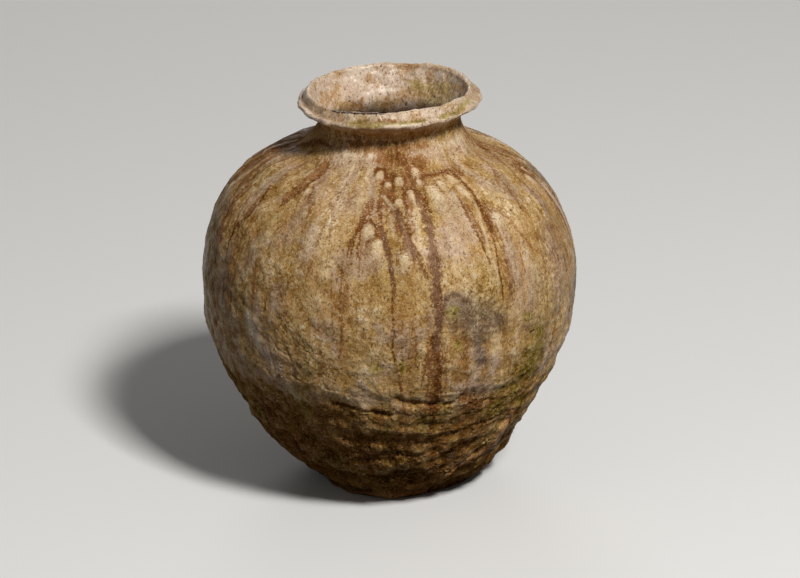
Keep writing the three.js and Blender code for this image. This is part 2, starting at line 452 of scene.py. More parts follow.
class Photograph:
    """Finds the row place and azimuth that a pixel of the photograph shows."""

    REACH = 1.5

    def __init__(self):
        towards = GRID - CAMERA_PLACE
        seen = (GRID_NORMALS * towards).sum(-1) < 0
        self.row, self.column = np.nonzero(seen)
        away = towards[seen]
        forward = np.array([0.0, math.cos(CAMERA_ELEVATION), -math.sin(CAMERA_ELEVATION)])
        upward = np.array([0.0, math.sin(CAMERA_ELEVATION), math.cos(CAMERA_ELEVATION)])
        self.depth = away @ forward
        self.x = PICTURE_WIDTH / 2 + FOCAL_PIXELS * away[:, 0] / self.depth
        self.y = PICTURE_HEIGHT / 2 - FOCAL_PIXELS * (away @ upward) / self.depth

    def spot(self, pixel):
        """Place along the section and azimuth of what the pixel shows."""
        away = np.hypot(self.x - pixel[0], self.y - pixel[1])
        near = np.nonzero(away < self.REACH)[0]
        best = near[np.argmin(self.depth[near])] if len(near) else np.argmin(away)
        return ROW_PLACES[self.row[best]], AZIMUTHS[self.column[best]]


photograph = Photograph()


# Marks on the skin. A mark is drawn as a field of distances, in shares of the mark's own width.

FAR = 9.0
STROKE_REACH = 2.4
LEAST_RADIUS = 1.0

# How a stroke varies: its steps in shares of its width, and the millimetres between its chance changes
STROKE_STEP = 0.45
STROKE_CHANGE = 12.0
STROKE_SWELL = (0.6, 1.35)
STROKE_SWAY = 0.8


def radius_at(place):
    return np.maximum(np.interp(place, ROW_PLACES, ROW_RADII), LEAST_RADIUS)


def near_vertices(place, azimuth, reach):
    """The vertices within reach of a spot, and how far along and across it each lies."""
    first, last = np.searchsorted(ROW_PLACES, (place - reach, place + reach))
    radius = radius_at(place)
    span = int(reach / (radius * COLUMN_STEP)) + 1
    columns = int(round(azimuth / COLUMN_STEP)) + np.arange(-span, span + 1)
    across = (columns * COLUMN_STEP - azimuth) * radius
    along = ROW_PLACES[first:last] - place
    return np.ix_(np.arange(first, last), columns % COLUMNS), along[:, None], across[None, :]


def dab(field, place, azimuth, width, stretch=1.0):
    """Marks a round or stretched spot in a field of distances."""
    window, along, across = near_vertices(place, azimuth, STROKE_REACH * width * max(1.0, stretch))
    field[window] = np.minimum(field[window], np.hypot(along / stretch, across) / width)


def stroke(field, spots, start_width, end_width):
    """Marks a line through spots, whose width swells and shrinks by chance."""
    places = np.array([spot[0] for spot in spots])
    azimuths = np.unwrap([spot[1] for spot in spots])
    radii = radius_at(places)
    steps = np.hypot(np.diff(places), np.diff(azimuths) * (radii[1:] + radii[:-1]) / 2)
    travelled = np.concatenate([[0.0], np.cumsum(steps)])
    count = max(2, int(travelled[-1] / (STROKE_STEP * min(start_width, end_width))) + 1)
    share = np.linspace(0.0, 1.0, count)
    knots = np.linspace(0.0, 1.0, max(3, int(travelled[-1] / STROKE_CHANGE)))
    swell = np.interp(share, knots, chance.uniform(*STROKE_SWELL, len(knots)))
    sway = np.interp(share, knots, chance.normal(0.0, STROKE_SWAY, len(knots)))
    line = np.interp(share * travelled[-1], travelled, places)
    turns = np.interp(share * travelled[-1], travelled, azimuths) + sway / radius_at(line)
    widths = blend(start_width, end_width, share) * swell
    for place, azimuth, width in zip(line, turns, widths):
        dab(field, place, azimuth, width)


# What the glaze did. A run or stroke has its half widths in millimetres at the start and the end, and the
# pixels of the photograph through which it is drawn. A patch or pit has a half width and its pixel, and a
# drop has the length of its tail between them.

BROWN_RUNS = [
    # The main run, from the neck down to the lower wall
    (2.6, 4.0, [(397, 150), (402, 156), (408, 164), (411, 174)]),
    (3.6, 5.4, [(404, 161), (408, 169), (413, 179), (418, 190), (423, 203), (430, 227), (436, 258)]),
    (5.2, 4.6, [(436, 258), (438, 280), (439, 300), (439, 320), (437, 340)]),
    (4.4, 3.0, [(437, 340), (440, 370), (438, 395), (431, 440)]),
    # The dark blob left of it, and the second run
    (5.0, 5.6, [(386, 194), (392, 203), (399, 213), (404, 224)]),
    (5.4, 2.4, [(404, 224), (409, 238), (415, 250), (422, 264), (429, 278)]),
    (3.2, 2.6, [(381, 192), (380, 208), (382, 227), (386, 244), (391, 262), (395, 280)]),
    (1.7, 1.0, [(395, 280), (394, 310), (394, 350), (399, 370), (402, 395)]),
    # The left run, with its side threads and hooks
    (4.0, 1.2, [(368, 204), (364, 216), (356, 230), (351, 242), (348, 258)]),
    (1.3, 0.9, [(356, 228), (350, 242), (346, 255)]), (1.3, 0.9, [(361, 234), (357, 247), (357, 261)]),
    (1.2, 1.0, [(362, 220), (370, 218), (375, 225), (374, 235)]),
    (1.2, 1.0, [(368, 240), (374, 234), (382, 236), (385, 244)]),
    (1.1, 0.9, [(388, 262), (392, 274), (394, 288)]),
    # The band at the right of the main run
    (2.2, 1.3, [(458, 196), (466, 208), (475, 224), (483, 241), (487, 254), (492, 264)]),
    (3.0, 2.0, [(480, 200), (485, 209), (489, 219), (492, 229)]),
    # Runs of the left shoulder
    (3.4, 1.8, [(326, 165), (317, 176), (307, 182), (298, 190), (290, 196), (279, 204)]),
    (2.4, 1.6, [(270, 184), (258, 203), (245, 216), (234, 226), (226, 242)]),
    # The net of brown round the drops, and the arch right of it
    (2.0, 1.8, [(385, 169), (385, 178), (381, 188), (380, 200)]),
    (2.2, 1.8, [(393, 170), (394, 184), (391, 196)]),
    (2.4, 2.2, [(404, 172), (405, 186), (405, 198), (409, 212)]),
    (1.6, 1.4, [(373, 172), (376, 167), (383, 166), (391, 169)]),
    (2.4, 1.6, [(424, 175), (432, 172), (438, 173), (445, 168), (453, 168), (458, 175)]),
    (1.8, 1.8, [(453, 168), (460, 177), (469, 185), (475, 192), (480, 202)]),
    (1.5, 1.0, [(480, 202), (485, 214), (491, 227), (495, 240), (498, 252), (501, 270), (504, 300)]),
    (5.0, 3.0, [(300, 143), (318, 140), (330, 146)]),
]
# Faint runs and threads, which show as a stain
THIN_RUNS = [
    (2.2, 1.4, [(362, 236), (359, 258), (358, 276)]), (1.8, 1.4, [(341, 262), (340, 300), (342, 352)]),
    (3.0, 2.0, [(500, 205), (515, 225), (528, 238), (537, 250)]),
    (3.0, 2.0, [(488, 148), (505, 162), (520, 176), (534, 192), (544, 206)]),
    (2.6, 1.8, [(478, 152), (496, 172), (512, 190), (524, 208)]),
    (3.8, 2.4, [(314, 158), (303, 161), (292, 166), (280, 171)]),
    (3.4, 2.4, [(244, 176), (236, 188), (228, 201), (218, 218)]),
    (2.6, 1.6, [(307, 192), (309, 203), (307, 216)]), (2.0, 1.6, [(359, 337), (369, 340)]),
    (3.4, 2.4, [(318, 330), (322, 362), (330, 396)]), (3.4, 2.4, [(470, 340), (468, 372), (462, 400)]),
]
# The purple middles of the widest runs
RUN_CORES = [
    (2.8, 4.6, [(420, 198), (428, 222), (434, 246), (437, 268), (439, 300), (438, 350)]),
    (3.6, 2.6, [(392, 206), (399, 216), (404, 228), (410, 242), (418, 258)]),
    (2.0, 1.6, [(382, 228), (386, 246), (391, 264), (394, 290)]),
]
# The blue-grey stain at the right of the main run: its arch, and the stains that hang from it
GREY_RUNS = [
    (3.4, 3.0, [(446, 302), (449, 298), (455, 296), (463, 298), (470, 303)]),
    (6.0, 7.0, [(446, 306), (456, 302), (466, 304), (476, 308)]),
    (11.0, 10.0, [(476, 310), (488, 314), (498, 322)]), (12.0, 11.0, [(468, 314), (476, 322), (484, 332)]),
    (9.0, 5.0, [(478, 330), (480, 348), (482, 364)]), (5.0, 4.0, [(444, 308), (443, 322)]),
]
# Pale streaks of glaze; the one along the lower roll of the front lip is a painted highlight
PALE_STREAKS_AND_LIP_HIGHLIGHT = [
    (2.8, 1.5, [(466, 190), (473, 200), (479, 212), (484, 226), (489, 242), (493, 255), (499, 286)]),
    (1.8, 1.6, [(412, 192), (415, 204), (419, 216)]), (2.2, 1.8, [(383, 194), (388, 199), (393, 207)]),
    (1.8, 1.5, [(384, 126), (400, 127), (418, 125)]), (2.8, 1.8, [(391, 216), (393, 226), (393, 236)]),
]
PINK_PATCHES = [
    (9.0, 8.0, [(336, 157), (352, 160), (368, 160)]), (6.0, 6.0, [(414, 151), (430, 153), (446, 150)]),
    (8.0, 8.0, [(446, 153), (458, 147), (470, 139)]), (10.0, 9.0, [(352, 172), (350, 186), (344, 200)]),
    (10.0, 9.0, [(318, 196), (300, 214), (282, 236)]), (16.0, 14.0, [(520, 256), (530, 290), (534, 320)]),
    (13.0, 12.0, [(552, 230), (560, 270), (560, 310)]), (9.0, 8.0, [(254, 300), (256, 330), (268, 358)]),
]
# Glossy glaze in the mouth, on the lip, on the left of the belly and at the foot of the neck, made paler
# there as painted highlights
WET_AND_HIGHLIGHT_PATCHES = [
    (4.0, 3.0, [(352, 69), (362, 67), (372, 67)]), (3.0, 3.0, [(368, 94), (376, 97), (384, 98)]),
    (3.0, 2.4, [(400, 106), (406, 110), (413, 110)]),
    (2.6, 2.4, [(384, 127), (400, 127), (418, 125), (428, 123)]),
    (3.0, 2.4, [(305, 106), (309, 112), (316, 121)]), (5.0, 3.4, [(246, 316), (250, 332), (257, 348)]),
    (4.4, 3.4, [(265, 355), (270, 363), (276, 371)]), (3.4, 3.0, [(286, 384), (292, 392), (297, 400)]),
    (2.0, 2.0, [(279, 350), (285, 358)]), (4.0, 3.4, [(350, 153), (364, 154), (376, 153)]),
    (4.0, 4.0, [(440, 146), (452, 142), (462, 137)]),
]
# Paler, glossier glaze between the runs and beside them; the patches at the foot of the neck, on the left of
# the belly and on the green drops are painted highlights
PALE_AND_HIGHLIGHT_PATCHES = [
    (6.0, 5.0, [(248, 318), (254, 338), (268, 364)]), (11.0, 9.0, [(334, 157), (352, 160), (368, 160)]),
    (7.0, 7.0, [(414, 151), (430, 153), (446, 150)]), (10.0, 9.0, [(440, 156), (456, 149), (470, 140)]),
    (9.0, 8.0, [(436, 184), (440, 200), (446, 214)]), (10.0, 9.0, [(420, 215), (424, 250), (424, 300)]),
    (14.0, 12.0, [(452, 212), (456, 250), (458, 284)]), (14.0, 12.0, [(340, 190), (330, 230), (324, 270)]),
    (9.0, 8.0, [(354, 178), (350, 196)]), (9.0, 7.0, [(366, 374), (384, 372), (396, 374)]),
    (9.0, 8.0, [(322, 390), (340, 396), (360, 399), (380, 401)]),
    (14.0, 12.0, [(505, 200), (522, 230), (530, 260)]), (5.0, 4.0, [(452, 311), (457, 317)]),
    (3.4, 3.0, [(454, 345), (465, 350)]), (4.0, 4.0, [(366, 372), (380, 373)]),
]
DROPS = [
    (4.6, 2.6, (379, 173)), (3.6, 2.6, (388, 182)), (4.2, 3.6, (399, 178)), (3.4, 6.0, (411, 190)),
    (2.8, 3.0, (419, 179)), (4.6, 2.4, (416, 169)), (5.8, 6.0, (432, 187)), (4.0, 5.0, (450, 175)),
    (3.6, 5.0, (440, 181)), (4.2, 5.0, (460, 185)), (5.8, 3.0, (368, 228)), (6.2, 4.0, (376, 243)),
    (4.0, 3.0, (399, 200)), (5.6, 4.0, (406, 258)), (6.0, 4.0, (498, 215)), (3.4, 3.6, (307, 189)),
]
RUST_PATCHES = [
    (3.0, (332, 296)), (3.2, (333, 310)), (2.0, (372, 181)), (2.6, (445, 222)), (3.0, (336, 96)),
    (3.0, (438, 300)),
]
# Moss green at the lower right and on the drops of the crease, then in the mouth and on the lip
GREEN_PATCHES = [
    (9.0, (541, 332)), (14.0, (538, 354)), (5.0, (530, 319)), (14.0, (531, 372)), (12.0, (514, 392)),
    (12.0, (498, 408)), (10.0, (520, 404)), (5.0, (401, 368)), (4.4, (375, 372)), (3.4, (459, 347)),
    (3.0, (464, 351)), (5.0, (454, 313)),
]
GREEN_STROKES = [
    (9.0, 7.0, [(414, 86), (428, 88), (444, 92)]), (6.0, 5.0, [(428, 100), (440, 100), (450, 96)]),
    (3.4, 3.4, [(346, 121), (362, 123), (378, 124)]),
    (3.4, 3.2, [(378, 121), (396, 122), (412, 121), (424, 119)]),
    (3.4, 3.0, [(444, 116), (456, 110), (470, 100)]),
]
# Ochre clouds in the mouth, and on the neck under the lip
MOUTH_STROKES = [
    (6.0, 5.0, [(326, 100), (334, 94), (340, 88)]), (6.0, 5.0, [(340, 104), (352, 108), (366, 110)]),
    (6.0, 5.0, [(384, 106), (396, 102), (404, 96)]), (8.0, 7.0, [(414, 90), (430, 90), (444, 94)]),
    (3.0, 3.0, [(444, 90), (454, 86), (460, 90)]),
    (4.0, 4.0, [(350, 134), (376, 137), (404, 137), (430, 132)]),
]
DARK_LINES = [(1.1, 0.8, [(532, 334), (538, 330)])]
# A painted shadow line along the inner edge of the lip: half widths, and pixels beside which it runs
MOUTH_EDGE_SHADOW_WIDTHS = (2.8, 1.6)
MOUTH_EDGE_SHADOW = [(331, 114), (346, 118), (362, 120), (384, 120)]
MOUTH_EDGE_SHADOW_SETBACK = -2.0
# Folds and hollows in the clay, and wrinkles in the glaze; the darker, browner tone in the hollows and the
# darker tone in the wrinkles are painted shade
CREASES = [
    (3.0, 2.0, [(334, 405), (346, 409), (360, 411), (372, 414), (388, 417)]),
    (2.2, 1.8, [(398, 401), (408, 405), (420, 404), (434, 407), (452, 405)]),
]
HOLLOWS = [
    (8.0, 7.0, [(480, 404), (494, 400), (508, 392), (522, 382), (536, 368)]),
    (4.6, 4.0, [(448, 437), (464, 432), (480, 427), (496, 420)]),
    (4.6, 4.0, [(446, 456), (460, 450), (474, 442)]),
    (8.0, 6.0, [(346, 441), (366, 446), (386, 444), (410, 448), (434, 444)]),
    (6.0, 5.0, [(348, 456), (372, 460), (396, 456), (420, 459)]),
    (7.0, 6.0, [(344, 476), (370, 479), (398, 480), (424, 476)]),
    (8.0, 6.0, [(256, 392), (276, 408), (296, 424)]),
]
WRINKLES = [
    (1.3, 1.0, [(548, 212), (560, 240), (569, 270), (573, 300), (570, 330)]),
    (1.2, 1.0, [(536, 200), (552, 230), (561, 262), (565, 298), (560, 336)]),
    (1.2, 0.9, [(524, 204), (538, 232), (547, 268), (550, 310)]),
    (1.1, 0.9, [(556, 330), (552, 352), (543, 374)]), (1.2, 0.9, [(566, 332), (558, 356), (548, 376)]),
    (1.1, 0.8, [(244, 200), (230, 232), (222, 262)]), (1.1, 0.8, [(262, 302), (263, 314)]),
    (1.3, 0.9, [(260, 350), (268, 361)]), (1.5, 0.9, [(274, 346), (281, 355)]),
    (1.3, 0.9, [(285, 354), (290, 362)]), (1.3, 0.9, [(290, 378), (300, 384)]),
    (1.0, 0.8, [(300, 350), (309, 354)]),
    (2.4, 2.0, [(446, 302), (449, 298), (455, 296), (463, 298), (470, 303)]),
]
# Soft brown stains round the runs, at the foot of the neck and on the left shoulder
BROWN_CLOUDS = [
    (8.0, 6.0, [(384, 156), (396, 158), (410, 162), (422, 161)]),
    (4.0, 3.0, [(371, 200), (367, 210), (362, 220)]), (2.6, 2.0, [(378, 118), (386, 119), (394, 119)]),
    (3.0, 3.0, [(374, 224), (378, 232), (372, 238)]), (8.0, 8.0, [(384, 176), (392, 190), (396, 206)]),
    (7.0, 7.0, [(402, 172), (410, 186), (412, 204)]), (8.0, 6.0, [(398, 214), (404, 230), (408, 246)]),
    (5.0, 4.4, [(426, 175), (436, 172), (446, 169), (456, 171)]),
    (4.0, 3.6, [(466, 204), (476, 220), (486, 240)]), (4.4, 3.6, [(484, 202), (490, 216), (493, 230)]),
    (5.0, 5.0, [(350, 143), (374, 147), (400, 148), (426, 145)]),
    (5.0, 4.0, [(322, 164), (304, 180), (286, 196)]),
    (6.0, 5.0, [(246, 184), (230, 204), (218, 232), (212, 262)]),
    (8.0, 6.0, [(436, 360), (438, 384), (434, 408)]), (7.0, 6.0, [(462, 396), (470, 402), (478, 410)]),
]
RUST_STROKES = [
    (4.0, 4.0, [(330, 488), (352, 493), (376, 496)]), (4.0, 3.6, [(376, 496), (400, 497), (424, 494)]),
]
# The bare orange scar at the lower right, where something touched the jar in the kiln
SCARS = [
    (5.0, 4.0, [(517, 407), (508, 420), (498, 433), (486, 448), (471, 462)]),
    (3.4, 3.0, [(474, 458), (460, 468), (444, 478)]),
]
OCHRE_PATCHES = [
    (7.0, (330, 296)), (7.0, (322, 318)), (8.0, (286, 276)), (7.0, (284, 300)), (6.0, (484, 278)),
    (6.0, (474, 250)), (8.0, (404, 320)), (8.0, (462, 372)), (9.0, (458, 342)), (6.0, (535, 248)),
    (9.0, (240, 198)), (10.0, (228, 218)), (9.0, (220, 244)),
]
# Single pits, and crowds of them: how far they spread, how wide the widest is, and the middle pixel
PITS = [
    (1.5, (456, 314)), (1.1, (362, 331)), (1.1, (418, 369)), (1.0, (512, 208)), (1.0, (508, 284)),
    (1.3, (510, 398)), (1.4, (404, 106)), (1.4, (432, 97)), (1.2, (407, 64)), (1.2, (382, 67)),
    (1.3, (352, 101)), (1.6, (463, 396)), (1.6, (470, 404)), (1.5, (474, 411)), (1.6, (436, 466)),
    (1.6, (446, 474)),
]
PIT_CLUSTERS = [
    (7.0, 2.0, (468, 402)), (8.0, 2.0, (440, 471)), (14.0, 1.6, (322, 420)), (24.0, 1.3, (290, 352)),
    (22.0, 1.2, (398, 356)), (16.0, 1.6, (372, 424)),
]

# Chance falls down the wall: how many, how far below the root of the neck they start, how long and how wide
# they are in millimetres, and between which azimuths
CHANCE_SEED = 41
FIRST_NOISE_SEED = 100
WHOLE_TURN = (0.0, 2.0 * math.pi)
UNSEEN_SIDE = (math.radians(80.0), math.radians(278.0))
BROWN_FALLS = (30, (0.0, 90.0), (30.0, 190.0), (1.6, 4.6), UNSEEN_SIDE)
THIN_FALLS = (110, (-6.0, 240.0), (14.0, 80.0), (1.0, 2.2), WHOLE_TURN)
GREY_FALLS = (10, (60.0, 240.0), (20.0, 60.0), (6.0, 12.0), UNSEEN_SIDE)
CLOUD_FALLS = (50, (-14.0, 60.0), (10.0, 60.0), (4.0, 9.0), UNSEEN_SIDE)
LIGHT_FALLS = (16, (-10.0, 160.0), (20.0, 60.0), (8.0, 13.0), UNSEEN_SIDE)
FALL_DRIFT = 0.05
FALL_SPOTS = 6
FALL_TAPER = 0.6

# Drops: lengths in shares of their width, and how many hang where the photograph doesn't show
DROP_EDGE = (0.4, 1.3)
DROP_RAGGEDNESS = 0.6
DROP_MARGIN = 1.6
DROP_TAIL_START = 0.3
DROP_ARC_AWAY = 1.5
DROP_ARC_SPREAD = 0.45
DROP_ARC_END = 0.7
UNSEEN_DROPS = 38
UNSEEN_DROP_DEPTHS = (0.0, 100.0)
UNSEEN_DROP_WIDTHS = (2.6, 5.6)
UNSEEN_DROP_TAILS = (3.0, 6.0)

# Grains and craters: how many, how wide, and how high or deep
GRAINS = (7000, (0.7, 1.5), (0.12, 0.42))
CRATERS = (5200, (0.6, 1.3), (0.15, 0.6))
GRAIN_REACH = 2.2
CRATER_REACH = 3.0
CRATER_HOLE = 0.9
CRATER_RIM_HEIGHT = 0.3
CRATER_RIM_AWAY = 1.6
CRATER_RIM_SPREAD = 0.5
SCATTER_SPAN = (4.0, WALL_LENGTH + 40.0)
LOWER_COARSENESS = 1.6
CLUSTER_PITS = 34
CLUSTER_NARROWEST = 0.7
CLUSTER_DEPTHS = (0.3, 0.9)

# Noise over the skin: sizes in millimetres, and widths and lengths of what runs down the wall
LUMP_SIZES = (46.0, 20.0, 9.0, 4.6, 2.5)
SPECKLE_SIZE = 1.7
SWELL_SIZE = 14.0
STREAK_SIZES = [(14.0, 110.0), (5.0, 50.0), (2.4, 12.0)]
TINT_SIZES = [(24.0, 44.0), (12.0, 60.0), (36.0, 60.0)]
FLOW_RADIUS = 150.0
WOBBLE_SIZE = 34.0
WOBBLE = 0.012

# Height of each size of lump, and what the lower half, the lower stage and the lip add to it
LUMP_HEIGHTS = [
    (0.6, 0.0, 0.0, 0.0),
    (0.8, 0.8, 0.9, 0.5),
    (0.45, 0.35, 0.2, 0.4),
    (0.22, 0.12, 0.0, 0.0),
    (0.14, 0.0, 0.0, 0.0),
]

# Edges of marks: core and rim in shares of the mark's width, and how ragged
EDGES = {
    "brown": (0.1, 1.8, 1.0),
    "thin": (0.0, 2.1, 0.8),
    "core": (0.0, 1.9, 0.8),
    "pale": (0.2, 1.7, 1.1),
    "grey": (-0.2, 2.6, 1.1),
    "dark": (0.4, 1.5, 1.0),
    "pink": (0.0, 2.3, 1.2),
    "cloud": (0.0, 2.2, 1.6),
    "wet_and_highlight": (0.2, 1.9, 1.0),
    "pale_and_highlight": (0.0, 2.3, 0.8),
    "rust": (0.0, 2.2, 1.0),
    "scar": (0.2, 1.7, 0.8),
    "ochre": (0.0, 2.3, 1.8),
    "green": (0.0, 2.3, 1.8),
    "pit": (0.4, 1.3, 0.6),
}
OCHRE_STRETCH = 1.5

# A crease has a groove darkened as painted shade, a swollen lip below it and a fold above it lightened as a
# painted highlight: spread, and rows upwards from the line
CREASE_PARTS = {"crease_groove_shade": (1.15, 0), "crease_lip": (3.0, -9), "lit_crease_brow": (4.0, 10)}

# Creases, hollows and wrinkles: how ragged they are, and how the hollows change in depth from lump to lump
CREASE_RAGGEDNESS = 0.8
WRINKLE_RAGGEDNESS = 0.4
HOLLOW_RAGGEDNESS = 0.5
HOLLOW_LUMPINESS = 0.6
HOLLOW_SPREAD = 1.2
HOLLOW_MIDDLE_DEPTH = 0.8
HOLLOW_DEPTH_CHANGE = 1.2
HOLLOW_DEPTHS = (0.2, 1.4)

# Where stretches of the skin fade in or out: millimetres along the section, along the wall and up
FOOT_EDGE = (section.foot, section.foot + 4.0)
MOUTH_EDGE = (section.inside_top, section.inside_top + 20.0)
MOUTH_DEPTH = (section.inside_top + 20.0, section.inside_top + 90.0)
LIP_START = (section.wall_top - 6.0, section.wall_top)
LIP_END = (section.inside_top, section.inside_top + 8.0)
GROOVE_SPREAD = 2.6
STAGE_TOP = (CREASE - 16.0, CREASE + 8.0)
LOWER_HALF_TOP = (CREASE, CREASE + 150.0)
LOW_WALL_TOP = (70.0, 165.0)
FOOT_BAND_TOP = (4.0, 16.0)
NECK_START = (NECK_ROOT - 6.0, NECK_ROOT + 12.0)

# How far each look stands out of the skin, in millimetres
RELIEF_SHARES = {
    "speckle": 0.08, "stage_swells": 1.0, "low_rust": 1.4, "scar": 2.4, "brown": 0.12, "pale": 0.8,
    "drop": 0.55, "drop_arc": -0.2, "grey": 0.10, "crease_lip": 0.7, "lit_crease_brow": 0.9, "crease_groove_shade": -1.8,
    "shaded_hollow": -2.0, "shaded_wrinkle": -0.7, "groove": 0.8, "left_groove_shade": -1.5, "dark": -0.1, "pit": -1.0,
}

# What the material reads, and how much of each look it is made of. A tone of 0 is the darkest brown of the
# glaze, and 1 its palest cream.
FIELD_SHARES = {
    # The tone takes painted highlights from the wet, pale and crease-brow patches, and painted shade from
    # creases, hollows, wrinkles and the left groove
    "tone": {
        "whole": 0.58, "coarse_lumps": 0.12, "middle_lumps": 0.15, "grit": 1.0, "streaks": 1.0,
        "lower_stage": -0.08, "low_wall": -0.20, "foot_band": -0.10, "neck": 0.03, "grain_tops": 0.10,
        "lip_lumps": 0.10, "pale_and_highlight": 0.10, "low_rust": 0.6, "scar": 0.5, "wet_and_highlight": 0.18, "shaded_hollow": -0.14,
        "shaded_wrinkle": -0.16, "lit_crease_brow": 0.08, "stage_lumps": 0.10, "crease_groove_shade": -0.25, "grey": -0.12,
        "left_groove_shade": -0.25, "low_green": -0.05,
    },
    "brown": {"brown": 0.8, "drop_arc": 0.55},
    "cloud": {
        "cloud": 0.75, "thin": 0.6, "orange": 0.108, "left_side_shade_orange": 0.252, "lower_stage": 0.3, "shaded_hollow": 0.2,
    },
    "mauve": {"core": 0.8},
    "pink": {"pinks": 0.8},
    "grey": {"grey": 0.82},
    "pale": {"pale": 0.5, "drop": 0.75},
    "green": {"greens": 1.0},
    "rust": {"rust": 0.6, "low_rust": 0.35, "scar": 1.0, "foot_band": 0.3, "foot_lumps": 0.5},
    "ochre": {"ochres": 1.0},
    "dark": {"dark": 1.0, "pit_shade": 1.0},
    "cream": {"near_mouth": 1.0, "on_lip": 0.6},
    "gloss": {
        "whole": 0.4, "middle_lumps": 0.3, "pale": 0.3, "drop": 0.5, "on_lip": 0.4, "lip_green": 0.4,
        "pale_and_highlight": 0.2, "wet_and_highlight": 0.8, "brown": -0.4, "lower_stage": -0.3, "neck": -0.5, "left": -0.15,
        "shaded_hollow": -0.3, "low_green": -0.3,
    },
}

# Mixtures of noise: shares of the two finest sizes of lumps and of the speckle, and of the three streaks
RAGGED_SHARES = (0.34, 0.40, 0.22)
GRIT_SHARES = (0.14, 0.13, 0.09)
STREAK_SHARES = (0.13, 0.10, 0.05)

# Patches of tint: how much the middle lumps break them up, and the limits between which they show
LAVENDER_PATCHES = (0.35, -0.1, 0.45)
ORANGE_PATCHES = (0.5, 0.05, 0.5)
OLIVE_PATCHES = (0.35, -0.05, 0.5)

# Gritty patches: how much the olive tint adds to the widest lumps, and the limits between which they show
GRITTY_PATCHES = (0.6, -0.25, 0.4)

# How strongly those patches and the drawn stains show, and what the lower stage, lip and inside change
LAVENDER_FADE = 0.8
OLIVE_ABOVE_CREASE = 0.55
OLIVE_SHOWN = 0.5
ORANGE_SHOWN = 0.55
OCHRE_SHOWN = 0.7
STAGE_GREEN = 0.1
GREEN_FADE_INSIDE = 0.3
GREEN_FADE_ON_LIP = 0.2
LEAST_GRIT = 0.35
PATCH_GRIT = 0.9
LOWER_GRIT = 0.3

chance = np.random.default_rng(CHANCE_SEED)
noise_seeds = itertools.count(FIRST_NOISE_SEED)


def new_field(fill=0.0):
    return np.full(GRID.shape[:2], fill, np.float32)


def mixture(shares, noises):
    """Noises added up, each in its own share."""
    return sum(share * noise for share, noise in zip(shares, noises))


def grain(size):
    return gradient_noise(GRID, size, next(noise_seeds))


flow_wobble = grain(WOBBLE_SIZE)


def flow(width, length):
    """Noise drawn out down the wall, as runny glaze is, with streaks of about this width and length."""
    azimuth = AZIMUTHS[None, :] + WOBBLE * flow_wobble
    down = np.broadcast_to(ROW_PLACES[:, None], GRID.shape[:2]) * width / length
    points = np.stack([FLOW_RADIUS * np.cos(azimuth), FLOW_RADIUS * np.sin(azimuth), down], axis=-1)
    return gradient_noise(points, width, next(noise_seeds))


lumps = [grain(size) for size in LUMP_SIZES]
speckle = grain(SPECKLE_SIZE)
streaks = [flow(width, length) for width, length in STREAK_SIZES]
tints = [flow(width, length) for width, length in TINT_SIZES]
swells = grain(SWELL_SIZE)
ragged = mixture(RAGGED_SHARES, (lumps[4], lumps[3], speckle))


def above(values, limits):
    """A column of shares, one for each row: 0 below the lower limit, and 1 above the upper one."""
    return smooth(values, *limits)[:, None]


# How far each column faces left, away from the key lamp; it paints shade on the left side and lowers the
# gloss there
facing_left = 0.5 - 0.5 * np.sin(AZIMUTHS)[None, :]
inside = above(ROW_PLACES, (section.lip_middle, section.inside_top))
outside = 1.0 - inside
outer = above(ROW_PLACES, FOOT_EDGE) * (1.0 - above(ROW_PLACES, MOUTH_EDGE))
on_lip = above(ROW_PLACES, LIP_START) * (1.0 - above(ROW_PLACES, LIP_END))
off_lip = 1.0 - on_lip
groove = gauss(ROW_PLACES - section.groove, GROOVE_SPREAD)[:, None]
lower_stage = (1.0 - above(ROW_LENGTHS, STAGE_TOP)) * outside
lower_half = (1.0 - above(ROW_LENGTHS, LOWER_HALF_TOP)) * outside
low_wall = (1.0 - above(ROW_LENGTHS, LOW_WALL_TOP)) * outside
foot_band = (1.0 - above(ROW_HEIGHTS, FOOT_BAND_TOP)) * outside

# Looks: how strongly each thing that can be seen covers each vertex
looks = {"drop": new_field(), "drop_arc": new_field(), "grain_tops": new_field()}


def draw_falls(field, count, starts, lengths, widths, azimuths):
    """Lines down the wall by chance."""
    for _ in range(count):
        azimuth = chance.uniform(*azimuths)
        start = section.foot + NECK_ROOT - chance.uniform(*starts)
        length = chance.uniform(*lengths)
        width = chance.uniform(*widths)
        drift = chance.normal(0.0, FALL_DRIFT)
        shares = np.linspace(0.0, 1.0, FALL_SPOTS)
        spots = [(start - share * length, azimuth + drift * share) for share in shares]
        stroke(field, spots, width, FALL_TAPER * width)


def distances(strokes=(), dabs=(), stretch=1.0, falls=None):
    """How far each vertex lies from marks, in shares of their own widths."""
    field = new_field(FAR)
    for width, pixel in dabs:
        dab(field, *photograph.spot(pixel), width, stretch)
    for start_width, end_width, pixels in strokes:
        stroke(field, [photograph.spot(pixel) for pixel in pixels], start_width, end_width)
    if falls:
        draw_falls(field, *falls)
    return field


def cover(kind, away):
    """Keeps marks of a kind: 1 inside their core and 0 outside their rim, with a ragged edge."""
    core, rim, raggedness = EDGES[kind]
    looks[kind] = 1.0 - smooth(away + raggedness * ragged, core, rim)


def draw_drop(place, azimuth, width, tail):
    """A drop of pale glaze, with a tail that fades below and a brown line round its upper side."""
    window, along, across = near_vertices(place, azimuth, (tail + DROP_MARGIN) * width)
    below = np.clip(-along / width, 0.0, None)
    away = np.hypot(np.clip(along / width, 0.0, None), across / width) + DROP_RAGGEDNESS * ragged[window]
    head = (1.0 - smooth(away, *DROP_EDGE)) * (1.0 - smooth(below, DROP_TAIL_START, tail))
    arc = gauss(away - DROP_ARC_AWAY, DROP_ARC_SPREAD) * (1.0 - smooth(below, 0.0, DROP_ARC_END * tail))
    for name, shape in (("drop", head), ("drop_arc", arc)):
        looks[name][window] = np.maximum(looks[name][window], shape)


